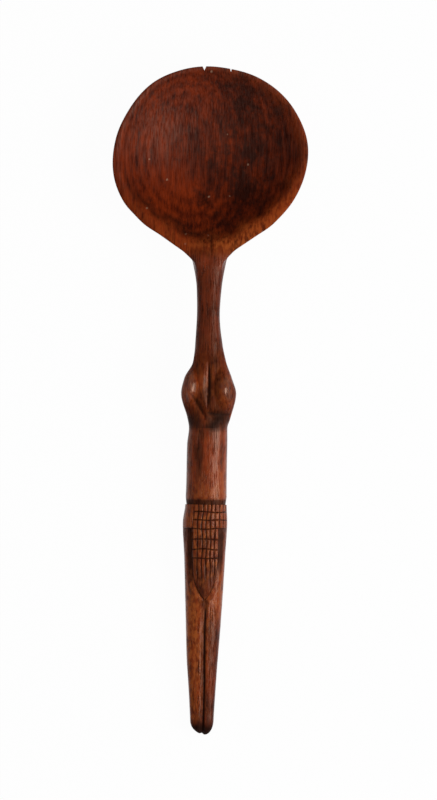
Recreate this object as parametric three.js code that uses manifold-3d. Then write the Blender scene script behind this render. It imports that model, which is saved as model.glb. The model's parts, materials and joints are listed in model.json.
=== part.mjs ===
// A spoon carved from one billet of hardwood, whose handle is a standing figure: the round bowl is its head,
// and below it come a slender neck, a bust, a torso with a belt, hips with a scored apron, and two legs side
// by side. The billet is carved whole and then divided into its members, which meet face to face.
//
// Sizes are in millimetres. The spoon lies on its back on the plane z = 0, with the hollow of the bowl facing
// up, along +Z. +Y runs from the feet to the tip of the bowl. The origin is in the middle of the length.

import * as THREE from "three";
import { mergeVertices } from "three/addons/utils/BufferGeometryUtils.js";
import Module from "manifold-3d";

const wasm = await Module();
wasm.setup();

const { clamp, degToRad, lerp } = THREE.MathUtils;

// Lengths of the members, along the spoon
const BOWL_LENGTH = 88;
const NECK_LENGTH = 37;
const BUST_LENGTH = 37.2;
const TORSO_LENGTH = 34.3;
const APRON_LENGTH = 43;
const LEGS_LENGTH = 60.5;

// Bowl: reaches are measured in plan from the middle of the hollow
const BOWL_WIDTH = 87;
const TIP_REACH = 40.6;
const LOWER_REACH = 60;
const FLANK_REACH = 41.2;
const FLANK_ANGLE = 35;
const FLANK_BLEND = 12;
const BOWL_DEPTH = 17;
const BOWL_FLOOR = 3.5;
const RIM_WALL = 2.6;
const RIM_ROUND = 1;
const LIP_REACH = 39.5;
const LIP_BLEND = 8;
const REST_WIDTH = 22;

// Drying check in the rim
const CHECK_OFFSET = -3.3;
const CHECK_WIDTH = 1.8;
const CHECK_DEPTH = 1.7;
const CHECK_HEIGHT = 6;

// Neck: the root is where it meets the bowl, the keel is where it has run into the bowl's wall, and the rise
// is how far its top stands over the rim
const KEEL_REACH = 15;
const KEEL_WIDTH = 17;
const KEEL_DEPTH = 15.8;
const ROOT_WIDTH = 14.9;
const ROOT_DEPTH = 11.4;
const NECK_DROP = 23;
const NECK_WIDTH = 10.2;
const NECK_DEPTH = 10.4;
const NECK_RISE = 0.9;

// Bust: drops are measured from the shoulder, and the sway is to the right of the middle line
const SHOULDER_WIDTH = 12.3;
const SHOULDER_DEPTH = 11.2;
const CHEST_DROP = 12;
const CHEST_WIDTH = 18.6;
const CHEST_DEPTH = 13.4;
const BUST_DROP = 21.7;
const BUST_WIDTH = 24.8;
const BUST_DEPTH = 15;
const BUST_SWAY = 0.9;
const BREAST_DROP = 20;
const BREAST_SPACING = 18.4;
const BREAST_WIDTH = 14;
const BREAST_RISE = 4.4;
const BREAST_UPPER_LENGTH = 11;
const BREAST_LOWER_LENGTH = 10;
const CLEFT_DROP = 6.8;
const CLEFT_LENGTH = 21;
const CLEFT_WIDTH = 2.8;
const CLEFT_DEPTH = 2.2;
const CREASE_WIDTH = 4.4;
const LEFT_CREASE_DEPTH = 1.3;
const RIGHT_CREASE_DEPTH = 0.6;

// Ends of the creases under the breasts, as [place to the right of the middle line, drop from the shoulder]
const LEFT_CREASE = [[-7.6, 21.5], [-1.6, 34]];
const RIGHT_CREASE = [[-0.5, 31.2], [9.5, 33.4]];

// Torso
const UNDERBUST_WIDTH = 17.1;
const UNDERBUST_DEPTH = 14.4;
const TORSO_DROP = 8;
const TORSO_WIDTH = 18;
const TORSO_DEPTH = 15;
const BELT_WIDTH = 3.2;
const BELT_LEDGE = 0.5;
const BELT_DEPTH = 0.6;

// Apron: drops are measured from the belt
const WAIST_WIDTH = 18.6;
const WAIST_DEPTH = 16;
const HIPS_DROP = 8.5;
const HIPS_WIDTH = 19.9;
const HIPS_DEPTH = 16.8;
const THIGH_DROP = 24.5;
const THIGH_WIDTH = 18.4;
const THIGH_DEPTH = 15.6;
const APRON_HALF_WIDTH = 6.3;
const BAND_ROWS = 3;
const BAND_PITCH = 3.6;
const PANEL_ROWS = 3;
const PANEL_PITCH = 4.4;
const COLUMN_PITCH = 2.2;
const BORDER_WIDTH = 2;
const BORDER_DEPTH = 0.7;
const LINE_WIDTH = 0.6;
const LINE_DEPTH = 0.35;

// Legs: the shin is measured from the knees, and the ankles from the feet
const KNEE_WIDTH = 16.7;
const KNEE_DEPTH = 13.8;
const SHIN_DROP = 22.5;
const SHIN_WIDTH = 14.5;
const SHIN_DEPTH = 11.8;
const ANKLE_RISE = 11;
const ANKLE_WIDTH = 10.9;
const ANKLE_DEPTH = 9;
const FOOT_WIDTH = 9.8;
const FOOT_DEPTH = 8;
const FOOT_ROUND = 6;
const FOOT_BLUNT = 0.18;
const FOOT_WEAR = 0.3;
const LEG_GROOVE_WIDTH = 2.4;
const LEG_GROOVE_DEPTH = 2.2;

// Shape of the curves: how steeply the walls of the bowl climb, how softly the breasts rise, how late the
// apron's sides run together, how square the ankles are against an oval, and how small a gouge cut ends
const OUTER_CLIMB = 2;
const INNER_CLIMB = 2.5;
const BREAST_SOFTNESS = 1.5;
const APRON_TAPER = 3;
const OVAL = 2;
const ANKLE_SQUARENESS = 4.4;
const RUN_OUT = 0.05;

// How finely the curves are faceted
const BOWL_SIDES = 60;
const WALL_STEPS = 9;
const ROUND_STEPS = 3;
const HANDLE_SIDES = 36;
const NUMERIC_STEP = 0.01;
const MERGE_DISTANCE = 1e-4;
const LEAST_FACING = 0.1;

// How far a cutting body stands out of what it cuts
const OVERCUT = 1;

// Places along the spoon
const LENGTH = BOWL_LENGTH + NECK_LENGTH + BUST_LENGTH + TORSO_LENGTH + APRON_LENGTH + LEGS_LENGTH;
const TIP_Y = LENGTH / 2;
const BOWL_Y = TIP_Y - TIP_REACH;
const ROOT_Y = TIP_Y - BOWL_LENGTH;
const KEEL_Y = ROOT_Y + KEEL_REACH;
const NECK_Y = ROOT_Y - NECK_DROP;
const SHOULDER_Y = ROOT_Y - NECK_LENGTH;
const CHEST_Y = SHOULDER_Y - CHEST_DROP;
const BUST_Y = SHOULDER_Y - BUST_DROP;
const BREAST_Y = SHOULDER_Y - BREAST_DROP;
const CLEFT_Y = SHOULDER_Y - CLEFT_DROP;
const UNDERBUST_Y = SHOULDER_Y - BUST_LENGTH;
const TORSO_Y = UNDERBUST_Y - TORSO_DROP;
const BELT_Y = UNDERBUST_Y - TORSO_LENGTH;
const HIPS_Y = BELT_Y - HIPS_DROP;
const THIGH_Y = BELT_Y - THIGH_DROP;
const KNEE_Y = BELT_Y - APRON_LENGTH;
const SHIN_Y = KNEE_Y - SHIN_DROP;
const FEET_Y = KNEE_Y - LEGS_LENGTH;
const ANKLE_Y = FEET_Y + ANKLE_RISE;

// Heights of the rim, of the neck's top and of the middle of the feet
const RIM_Z = BOWL_FLOOR + BOWL_DEPTH;
const NECK_TOP_Z = RIM_Z + NECK_RISE;
const FEET_Z = FOOT_DEPTH / 2 - FOOT_WEAR;

// A smooth curve through [place, size] pairs in order of place. It is level at each peak and dip.
function through(pairs) {
  const slopes = pairs.slice(1).map(([x, size], i) => (size - pairs[i][1]) / (x - pairs[i][0]));
  const tangents = pairs.map((pair, i) => {
    const before = slopes[Math.max(i - 1, 0)];
    const after = slopes[Math.min(i, slopes.length - 1)];
    return before * after > 0 ? (2 * before * after) / (before + after) : 0;
  });
  return (x) => {
    const next = pairs.findIndex(([place]) => place > x);
    const i = clamp((next < 0 ? pairs.length : next) - 1, 0, pairs.length - 2);
    const span = pairs[i + 1][0] - pairs[i][0];
    const t = clamp((x - pairs[i][0]) / span, 0, 1);
    const lift = t * (1 - t) * span * ((1 - t) * tangents[i] - t * tangents[i + 1]);
    return lerp(pairs[i][1], pairs[i + 1][1], t * t * (3 - 2 * t)) + lift;
  };
}

// The lower of two sizes, rounded off where they cross.
function blendedMin(a, b, blend) {
  const share = clamp(0.5 + (0.5 * (b - a)) / blend, 0, 1);
  return lerp(b, a, share) - blend * share * (1 - share);
}

// Evenly spread places from one to the other, without the last.
function spread(from, to, count) {
  return Array.from({ length: count }, (_, i) => lerp(from, to, i / count));
}

// Moves each vertex of a geometry to where the place function says.
function reshape(geometry, place) {
  const position = geometry.getAttribute("position");
  const vertex = new THREE.Vector3();
  for (let i = 0; i < position.count; i++) {
    const moved = place(vertex.fromBufferAttribute(position, i));
    position.setXYZ(i, moved.x, moved.y, moved.z);
  }
  return geometry;
}

// A closed geometry as a solid that can be joined and cut. Triangles that close up at a pole are left out.
function solidOf(geometry) {
  const bare = geometry.clone();
  bare.deleteAttribute("normal");
  bare.deleteAttribute("uv");
  const { attributes, index } = mergeVertices(bare, MERGE_DISTANCE);
  const triVerts = [];
  for (let i = 0; i < index.count; i += 3) {
    const [a, b, c] = index.array.subarray(i, i + 3);
    if (a !== b && b !== c && c !== a) triVerts.push(a, b, c);
  }
  return new wasm.Manifold(new wasm.Mesh({
    numProp: 3,
    vertProperties: attributes.position.array,
    triVerts: new Uint32Array(triVerts),
  }));
}

// The handle's section: its width, depth, sideways sway and height at each named place
const stops = [
  [FEET_Y, FOOT_WIDTH, FOOT_DEPTH],
  [ANKLE_Y, ANKLE_WIDTH, ANKLE_DEPTH],
  [SHIN_Y, SHIN_WIDTH, SHIN_DEPTH],
  [KNEE_Y, KNEE_WIDTH, KNEE_DEPTH],
  [THIGH_Y, THIGH_WIDTH, THIGH_DEPTH],
  [HIPS_Y, HIPS_WIDTH, HIPS_DEPTH],
  [BELT_Y, WAIST_WIDTH, WAIST_DEPTH],
  [TORSO_Y, TORSO_WIDTH, TORSO_DEPTH],
  [UNDERBUST_Y, UNDERBUST_WIDTH, UNDERBUST_DEPTH],
  [BUST_Y, BUST_WIDTH, BUST_DEPTH],
  [CHEST_Y, CHEST_WIDTH, CHEST_DEPTH],
  [SHOULDER_Y, SHOULDER_WIDTH, SHOULDER_DEPTH],
  [NECK_Y, NECK_WIDTH, NECK_DEPTH],
  [ROOT_Y, ROOT_WIDTH, ROOT_DEPTH],
  [KEEL_Y, KEEL_WIDTH, KEEL_DEPTH],
];
const widthAt = through(stops.map(([y, width]) => [y, width]));
const depthAt = through(stops.map(([y, , depth]) => [y, depth]));
const swayAt = through([[FEET_Y, 0], [HIPS_Y, 0], [BUST_Y, BUST_SWAY], [NECK_Y, 0]]);
const heightAt = through([
  [FEET_Y, FEET_Z],
  [NECK_Y, NECK_TOP_Z - NECK_DEPTH / 2],
  [ROOT_Y, NECK_TOP_Z - ROOT_DEPTH / 2],
  [KEEL_Y, NECK_TOP_Z - KEEL_DEPTH / 2],
]);
const beltAt = through([[BELT_Y, 0], [BELT_Y + BELT_LEDGE, BELT_DEPTH], [BELT_Y + BELT_WIDTH, 0]]);
const squarenessAt = through([[KNEE_Y, OVAL], [ANKLE_Y, ANKLE_SQUARENESS]]);

// The feet end in a quarter round, whose last stretch is left off for a blunt end.
function footRound(y) {
  const reach = clamp(1 - (y - FEET_Y + FOOT_BLUNT) / FOOT_ROUND, 0, 1);
  return Math.sqrt(1 - reach * reach);
}

// How far a breast stands out of the chest at a place in plan.
function breastRise(x, y) {
  const run = y > BREAST_Y ? BREAST_UPPER_LENGTH : BREAST_LOWER_LENGTH;
  const across = (Math.abs(x - swayAt(y)) - BREAST_SPACING / 2) / (BREAST_WIDTH / 2);
  const along = (y - BREAST_Y) / run;
  return BREAST_RISE * Math.max(0, 1 - across * across - along * along) ** BREAST_SOFTNESS;
}

// A point on the handle's skin. Angle 0 is its right side and a quarter turn its front.
function skin(angle, y) {
  const half = (widthAt(y) / 2 - beltAt(y)) * footRound(y);
  const x = swayAt(y) + half * Math.cos(angle);
  const power = squarenessAt(y);
  const share = Math.sign(Math.sin(angle)) * (1 - Math.abs(Math.cos(angle)) ** power) ** (1 / power);
  const bulge = (depthAt(y) / 2 - beltAt(y)) * footRound(y) * share;
  const breast = breastRise(x, y) * Math.sqrt(Math.max(0, Math.sin(angle)));
  return new THREE.Vector3(x, y, Math.max(0, heightAt(y) + bulge + breast));
}

// The skin's outward normal.
function skinNormal(angle, y) {
  const along = skin(angle, y + NUMERIC_STEP).sub(skin(angle, y - NUMERIC_STEP));
  const round = skin(angle + NUMERIC_STEP, y).sub(skin(angle - NUMERIC_STEP, y));
  return along.cross(round).normalize();
}

// The angle at which the front of the skin lies at x in plan.
function angleAt(x, y) {
  return Math.acos(clamp((x - swayAt(y)) / (widthAt(y) / 2), -1, 1));
}

// The handle as one loft through rings of the skin, from the feet into the wall of the bowl.
function handleBlank() {
  const stations = [
    ...spread(FEET_Y, FEET_Y + FOOT_ROUND, 6),
    ...spread(FEET_Y + FOOT_ROUND, KNEE_Y, 9),
    ...spread(KNEE_Y, BELT_Y, 12),
    BELT_Y,
    BELT_Y + BELT_LEDGE,
    ...spread(BELT_Y + BELT_WIDTH, UNDERBUST_Y, 6),
    ...spread(UNDERBUST_Y, SHOULDER_Y, 24),
    ...spread(SHOULDER_Y, ROOT_Y, 10),
    ...spread(ROOT_Y, KEEL_Y, 4),
    KEEL_Y,
  ];
  const last = stations.length - 1;
  const rod = new THREE.CylinderGeometry(1, 1, 1, HANDLE_SIDES, last);
  return solidOf(reshape(rod, (vertex) => {
    const y = stations[Math.round((vertex.y + 0.5) * last)];
    const onAxis = Math.hypot(vertex.x, vertex.z) < 0.5;
    return onAxis ? new THREE.Vector3(swayAt(y), y, heightAt(y)) : skin(Math.atan2(vertex.z, vertex.x), y);
  }));
}

// The bowl's outline in plan, as a reach in each direction: a round end at the tip, and below it a longer
// ellipse with two flanks cut off it, which run together towards the neck.
function outlineReach(direction) {
  const endReach = Math.sin(direction) > 0 ? TIP_REACH : LOWER_REACH;
  const ellipse = 1 / Math.hypot(Math.cos(direction) / (BOWL_WIDTH / 2), Math.sin(direction) / endReach);
  const fromNeck = Math.acos(-Math.sin(direction));
  return blendedMin(ellipse, lineReach(FLANK_REACH, fromNeck - degToRad(FLANK_ANGLE)), FLANK_BLEND);
}

// The hollow's outline: inside the bowl's outline by the wall of the rim, and ended by a lip at the neck.
function hollowReach(direction) {
  const fromNeck = Math.acos(-Math.sin(direction));
  return blendedMin(outlineReach(direction) - RIM_WALL, lineReach(LIP_REACH, fromNeck), LIP_BLEND);
}

// How far off a straight line is, seen at an angle to the shortest way to it.
function lineReach(distance, angle) {
  return distance / Math.max(Math.cos(angle), LEAST_FACING);
}

// A solid turned on the middle of the bowl, whose round plan is drawn out to an outline. The profile's points
// are [share of the reach, height].
function turnedTo(reachAt, profile) {
  const lathe = new THREE.LatheGeometry(profile.map(([share, z]) => new THREE.Vector2(share, z)), BOWL_SIDES);
  return solidOf(reshape(lathe.rotateX(Math.PI / 2), ({ x, y, z }) => {
    const direction = Math.atan2(y, x);
    const reach = Math.hypot(x, y) * reachAt(direction);
    return new THREE.Vector3(reach * Math.cos(direction), BOWL_Y + reach * Math.sin(direction), z);
  }));
}

// The outside of the bowl: a worn flat to rest on, a wall that climbs ever more steeply, and a rounded rim.
function bowlBlank() {
  const flat = REST_WIDTH / BOWL_WIDTH;
  const round = RIM_ROUND / (BOWL_WIDTH / 2);
  const wall = spread(flat, 1, WALL_STEPS).map((share) => [
    share,
    (RIM_Z - RIM_ROUND) * ((share - flat) / (1 - flat)) ** OUTER_CLIMB,
  ]);
  const rim = spread(0, Math.PI / 2, ROUND_STEPS).map((turn) => [
    1 - round * (1 - Math.cos(turn)),
    RIM_Z - RIM_ROUND * (1 - Math.sin(turn)),
  ]);
  return turnedTo(outlineReach, [[0, 0], ...wall, ...rim, [1 - round, RIM_Z], [0, RIM_Z]]);
}

// The inside of the bowl, as the body that the gouge takes away.
function hollow() {
  const wall = spread(0, 1, WALL_STEPS).map((share) => [
    share,
    BOWL_FLOOR + BOWL_DEPTH * share ** INNER_CLIMB,
  ]);
  const top = NECK_TOP_Z + OVERCUT;
  return turnedTo(hollowReach, [...wall, [1, RIM_Z], [1 + OVERCUT / LIP_REACH, top], [0, top]]);
}

// A three-sided wedge that opens a check in the rim at the tip. It stands as far out of the rim as into it.
function rimCheck() {
  const wedge = new THREE.CylinderGeometry(1, 1, CHECK_HEIGHT + OVERCUT, 3).rotateX(Math.PI / 2);
  const edgeY = BOWL_Y + TIP_REACH * Math.sqrt(1 - (CHECK_OFFSET / (BOWL_WIDTH / 2)) ** 2);
  wedge.scale((2 * CHECK_WIDTH) / Math.sqrt(3), (4 * CHECK_DEPTH) / 3, 1);
  wedge.translate(CHECK_OFFSET, edgeY + CHECK_DEPTH / 3, RIM_Z + (OVERCUT - CHECK_HEIGHT) / 2);
  return solidOf(wedge);
}

// A knife cut of V section along a path of [angle, y] places on the skin. The grow function gives the share
// of its full width and depth at each share of the path.
function incise(path, width, depth, grow = () => 1) {
  const points = path.map(([angle, y]) => skin(angle, y));
  const normals = path.map(([angle, y]) => skinNormal(angle, y));
  const last = path.length - 1;
  const wedge = new THREE.CylinderGeometry(1, 1, 1, 3, last);
  return solidOf(reshape(wedge, (vertex) => {
    const i = Math.round((vertex.y + 0.5) * last);
    const travel = points[Math.min(i + 1, last)].clone().sub(points[Math.max(i - 1, 0)]).normalize();
    const across = normals[i].clone().cross(travel);
    const share = grow(i / last);
    const sideways = (vertex.x / Math.sin(Math.PI / 3)) * width * share;
    const outwards = ((1 - 4 * vertex.z) / 3) * depth * share;
    return points[i].clone().addScaledVector(across, sideways).addScaledVector(normals[i], outwards);
  }));
}

// The share of its full size that a gouge cut has where it runs out at both ends.
function runningOut(t) {
  return lerp(RUN_OUT, 1, Math.sin(Math.PI * t));
}

// The cleft between the breasts.
function cleft() {
  const path = spread(CLEFT_Y, CLEFT_Y - CLEFT_LENGTH, 14).map((y) => [Math.PI / 2, y]);
  return incise(path, CLEFT_WIDTH, CLEFT_DEPTH, runningOut);
}

// A crease under a breast, from one end to the other.
function crease([start, end], depth) {
  const path = spread(0, 1, 12).map((t) => {
    const y = SHOULDER_Y - lerp(start[1], end[1], t);
    return [angleAt(lerp(start[0], end[0], t), y), y];
  });
  return incise(path, CREASE_WIDTH, depth, runningOut);
}

// Half the apron's width, which runs out to a point between the knees.
function apronHalf(y) {
  const share = clamp((BELT_Y - y) / APRON_LENGTH, 0, 1);
  return APRON_HALF_WIDTH * (1 - share ** APRON_TAPER);
}

// The two border grooves of the apron. The right one starts below the band that runs round the hip.
function apronBorder(side) {
  const top = side > 0 ? BELT_Y - BAND_ROWS * BAND_PITCH : BELT_Y;
  const path = spread(top, KNEE_Y - OVERCUT, 12).map((y) => [angleAt(swayAt(y) + side * apronHalf(y), y), y]);
  return incise(path, BORDER_WIDTH, BORDER_DEPTH);
}

// The scored grid: rows across the band and the panel below it, and columns down from the belt.
function apronLines() {
  const rows = [];
  for (let row = 1; row <= BAND_ROWS + PANEL_ROWS; row++) {
    const panelRow = Math.max(0, row - BAND_ROWS);
    const y = BELT_Y - (row - panelRow) * BAND_PITCH - panelRow * PANEL_PITCH;
    const left = angleAt(swayAt(y) - apronHalf(y), y);
    const right = panelRow > 0 ? angleAt(swayAt(y) + apronHalf(y), y) : 0;
    rows.push([...spread(left, right, 10), right].map((angle) => [angle, y]));
  }
  const bandEnd = BELT_Y - BAND_ROWS * BAND_PITCH;
  const panelEnd = bandEnd - (PANEL_ROWS + 0.5) * PANEL_PITCH;
  const columns = [];
  for (let x = COLUMN_PITCH - APRON_HALF_WIDTH; x < WAIST_WIDTH / 2; x += COLUMN_PITCH) {
    const taper = Math.max(0, 1 - Math.abs(x) / APRON_HALF_WIDTH) ** (1 / APRON_TAPER);
    const end = x < APRON_HALF_WIDTH ? Math.max(panelEnd, BELT_Y - taper * APRON_LENGTH) : bandEnd;
    columns.push([...spread(BELT_Y, end, 6), end].map((y) => [angleAt(swayAt(y) + x, y), y]));
  }
  return [...rows, ...columns].map((path) => incise(path, LINE_WIDTH, LINE_DEPTH));
}

// The groove that parts the legs, from the point of the apron to the feet, ever deeper.
function legGroove() {
  const path = [...spread(KNEE_Y + OVERCUT, FEET_Y, 12), FEET_Y].map((y) => [Math.PI / 2, y]);
  const start = BORDER_DEPTH / LEG_GROOVE_DEPTH;
  return incise(path, LEG_GROOVE_WIDTH, LEG_GROOVE_DEPTH, (t) => lerp(start, 1, t));
}

// The whole carving
const cuts = [
  hollow(),
  rimCheck(),
  cleft(),
  crease(LEFT_CREASE, LEFT_CREASE_DEPTH),
  crease(RIGHT_CREASE, RIGHT_CREASE_DEPTH),
  apronBorder(-1),
  apronBorder(1),
  ...apronLines(),
  legGroove(),
];
const carving = cuts.reduce((solid, cut) => solid.subtract(cut), bowlBlank().add(handleBlank()));

// The stretch of the carving between two places along it.
function stretch(from, to) {
  const side = 2 * BOWL_WIDTH;
  const box = new THREE.BoxGeometry(side, to - from, side).translate(0, (from + to) / 2, 0);
  return carving.intersect(solidOf(box));
}

// A member as a named mesh.
function member(name, from, to, color) {
  const { vertProperties, triVerts } = stretch(from, to).getMesh();
  const geometry = new THREE.BufferGeometry();
  geometry.setAttribute("position", new THREE.BufferAttribute(vertProperties, 3));
  geometry.setIndex(new THREE.BufferAttribute(triVerts, 1));
  geometry.computeVertexNormals();
  const satin = new THREE.MeshStandardMaterial({ color, roughness: 0.45, metalness: 0 });
  const mesh = new THREE.Mesh(geometry, satin);
  mesh.name = name;
  return mesh;
}

const spoon = new THREE.Group();
spoon.add(
  member("bowl", ROOT_Y, TIP_Y + OVERCUT, 0x6a2c1b),
  member("neck", SHOULDER_Y, ROOT_Y, 0x5c2617),
  member("bust", UNDERBUST_Y, SHOULDER_Y, 0x582618),
  member("torso", BELT_Y, UNDERBUST_Y, 0x652a19),
  member("apron", KNEE_Y, BELT_Y, 0x60321e),
  member("legs", FEET_Y - OVERCUT, KNEE_Y, 0x6c2e17),
);

export default spoon;
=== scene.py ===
# %% [markdown]
# # A carved wooden spoon
# The real spoon is one billet of reddish-brown hardwood. Its round bowl was hollowed with a bent gouge,
# and its handle was cut with a knife as a standing figure: neck, bust, torso, a scored apron and two legs.
# Handling and oil gave it a satin sheen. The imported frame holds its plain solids, one for each carved
# member. This lesson gives each member a fine carved skin, a wood finish and a photographer's light.

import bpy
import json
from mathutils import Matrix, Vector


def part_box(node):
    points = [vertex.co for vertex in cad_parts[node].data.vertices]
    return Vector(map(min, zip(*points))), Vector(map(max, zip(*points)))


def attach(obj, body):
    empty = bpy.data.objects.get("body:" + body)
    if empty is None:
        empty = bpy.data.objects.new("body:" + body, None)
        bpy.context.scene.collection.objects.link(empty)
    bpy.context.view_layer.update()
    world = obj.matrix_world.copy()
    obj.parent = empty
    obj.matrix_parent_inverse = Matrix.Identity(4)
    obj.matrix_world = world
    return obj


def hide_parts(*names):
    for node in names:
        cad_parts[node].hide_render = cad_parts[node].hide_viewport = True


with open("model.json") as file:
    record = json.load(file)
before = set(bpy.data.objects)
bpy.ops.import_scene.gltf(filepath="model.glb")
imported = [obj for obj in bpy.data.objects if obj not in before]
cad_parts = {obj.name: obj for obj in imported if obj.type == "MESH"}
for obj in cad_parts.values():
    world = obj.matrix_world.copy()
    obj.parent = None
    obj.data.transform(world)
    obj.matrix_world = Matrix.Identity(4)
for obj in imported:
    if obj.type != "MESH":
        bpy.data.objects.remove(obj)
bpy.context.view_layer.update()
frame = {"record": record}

# %% [markdown]
# ## Units and places
# Sizes are in millimetres here, and become metres only when a mesh is made. The frame tells where the
# members meet along the spoon. Reading those places, and not writing them a second time, keeps the ends of
# each skin on the same planes as the solid that it covers.

# %% Units and the places where the members meet
import json
import math

import bmesh
import bpy
import numpy as np

MM = 0.001
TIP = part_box("bowl")[1].y / MM
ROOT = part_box("bowl")[0].y / MM
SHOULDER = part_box("neck")[0].y / MM
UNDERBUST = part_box("bust")[0].y / MM
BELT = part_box("torso")[0].y / MM
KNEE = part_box("apron")[0].y / MM
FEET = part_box("legs")[0].y / MM
BOWL_MIDDLE = frame["record"]["mounts"][0]["pos_m"][1] / MM
print("members meet at", [round(y, 1) for y in (TIP, ROOT, SHOULDER, UNDERBUST, BELT, KNEE, FEET)], "mm")

# %% [markdown]
# ## Curves that a knife could follow
# A carver works from a few sizes and runs the knife smoothly from one to the next. A curve through a few
# stops does the same, as long as it never bulges past them. Where two forms meet, the wood keeps a small
# round hollow, so a soft minimum and a soft maximum blend two surfaces over a given reach.

# %% Helpers for smooth forms
ALMOST_NOUGHT = 1e-12


def through(stops, place):
    """A smooth curve through (place, size) stops, which never overshoots them."""
    at, size = np.array(sorted(stops), float).T
    step = np.diff(at)
    slope = np.diff(size) / step
    together = slope[1:] * slope[:-1]
    between = 2 * together / (slope[1:] + slope[:-1] + ALMOST_NOUGHT)
    lean = np.concatenate([slope[:1], np.zeros(len(slope) - 1), slope[-1:]])
    lean[1:-1][together > 0] = between[together > 0]
    low = np.clip(np.searchsorted(at, place) - 1, 0, len(step) - 1)
    share = np.clip((place - at[low]) / step[low], 0, 1)
    rise = size[low + 1] - size[low]
    first = lean[low] * step[low]
    last = lean[low + 1] * step[low]
    bend = 3 * rise - 2 * first - last + share * (first + last - 2 * rise)
    return size[low] + share * (first + share * bend)


def soft_min(one, other, reach):
    """The lesser of two surfaces, rounded where they come within reach of each other."""
    share = np.clip(0.5 + 0.5 * (other - one) / reach, 0, 1)
    return other + (one - other) * share - reach * share * (1 - share)


def soft_max(one, other, reach):
    """The greater of two surfaces, rounded in the same way."""
    return -soft_min(-one, -other, reach)


def eased(value, start, end):
    """Goes from 0 at start to 1 at end, slow at both ends."""
    share = np.clip((value - start) / (end - start), 0, 1)
    return share * share * (3 - 2 * share)


def uneven(x, y, size):
    """The faint waviness, between -1 and 1, that a hand tool leaves at about this spacing in mm."""
    # the odd numbers only keep the two waves from falling into step
    across = np.sin(x / size + 1.7 * np.sin(y / size * 0.61 + 0.4))
    along = np.sin(y / size * 0.83 + 1.3 * np.sin(x / size * 0.72 + 2.1))
    return 0.5 * across + 0.5 * along


print("quarter steps ease to", [round(float(eased(quarter, 0, 4)), 2) for quarter in range(5)])

# %% [markdown]
# ## The outline of the bowl
# Seen from above, the bowl is nearly round, with two straight flanks that run down to the neck. It was cut
# by eye, so it is fullest a little above the middle on the right and a little below it on the left. A circle
# wouldn't show that. A smooth curve through the reach in a few directions does, and two lines give the
# flanks.

# %% Reach of the rim and of the hollow
# direction in degrees, counted round from the right over the tip, and reach from the middle
ROUND_REACH = [
    (-60, 41), (-45, 41.1), (-25, 42.1), (-10, 43), (10, 44), (30, 43.2), (60, 41.4), (80, 40.45),
    (90, 40.6), (110, 41.1), (130, 42), (150, 42.2), (170, 43.2), (195, 44), (208, 43.7), (220, 42.5),
    (240, 41.7),
]
# distance of a flank's line from the middle, and its angle to a line square across the spoon
LEFT_FLANK = (41.5, math.radians(34))
RIGHT_FLANK = (40.7, math.radians(35))
FLANK_START = math.radians(30)
FLANK_END = math.radians(48)
# how far to each side of the neck the left flank's line gives way to the right one's
FLANK_CHANGE = 0.12
# angle from the neck in degrees, width of the rim's flat land
RIM_LAND = [(0, 4.6), (35, 4.8), (60, 4.2), (95, 1.9), (180, 1.2)]
LIP_REACH = 38
LIP_BLEND = 4
# directions away from the neck never meet the lip, and this keeps it far off in them
LEAST_TOWARDS_NECK = 0.1


def angle_from_neck(along):
    """Angle between a direction and the one that points straight at the neck."""
    return np.arccos(np.clip(-along, -1, 1))


def rim_reach(across, along):
    """Reach of the outline along the direction (across, along)."""
    from_neck = angle_from_neck(along)
    on_flank = np.minimum(from_neck, FLANK_END)
    left, right = (distance / np.cos(on_flank - angle) for distance, angle in (LEFT_FLANK, RIGHT_FLANK))
    flank = left + (right - left) * eased(across, -FLANK_CHANGE, FLANK_CHANGE)
    direction = np.degrees(np.arctan2(along, across))
    direction = np.where(direction < -90, direction + 360, direction)
    return flank + (through(ROUND_REACH, direction) - flank) * eased(from_neck, FLANK_START, FLANK_END)


def rim_land(along):
    """Width of the land between the hollow and the edge, widest on the flanks that run down to the neck."""
    return through(RIM_LAND, np.degrees(angle_from_neck(along)))


def hollow_reach(across, along):
    """Reach of the hollow: the land's width inside the rim, and cut short by the lip at the neck."""
    lip = LIP_REACH / np.maximum(-along, LEAST_TOWARDS_NECK)
    return soft_min(rim_reach(across, along) - rim_land(along), lip, LIP_BLEND)


left_right_tip = rim_reach(np.array([-1.0, 1, 0]), np.array([0.0, 0, 1]))
print("rim reaches left, right and tip", left_right_tip.round(1), "mm")

# %% [markdown]
# ## The sections of the handle
# The handle is a run of ovals. Its left and right reach and its depth are read at the places where the form
# changes: thin at the neck, wide at the bust, drawn in below it, swelling to the hips and tapering to the
# feet. The middle line sinks evenly from the neck to the feet, because the spoon lies on its bowl and its
# feet. At the other end, the neck's oval runs on a little way inside the bowl.

# %% Sizes of the handle's sections
NECK_TOP = 77
# place along the spoon, reach to the left, reach to the right, front to back
SECTIONS = [
    (66, 8.6, 8.8, 11.8), (ROOT, 7.2, 7.7, 11.4), (50, 5.3, 5.9, 10.6), (39, 5.0, 5.2, 10.4),
    (SHOULDER, 5.6, 6.8, 11.2), (17.4, 6.5, 8.5, 12.4), (10.2, 10.2, 11.2, 14), (3.3, 11.6, 13.2, 15),
    (-7.7, 8.6, 10.7, 14.6), (UNDERBUST, 7.8, 9.4, 14.4), (-20, 8.5, 9.5, 15), (BELT, 8.9, 9.6, 16),
    (-55, 9.9, 10, 16.8), (-71, 9.1, 9.3, 15.6), (KNEE, 8.3, 8.4, 13.8), (-112, 7.5, 7, 11.8),
    (-139, 5.6, 5.4, 9), (FEET, 5, 4.9, 8),
]
MIDDLE_HEIGHTS = [(FEET, 3.7), (39, 16.2), (ROOT, 15.7), (NECK_TOP, 13.5)]


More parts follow.
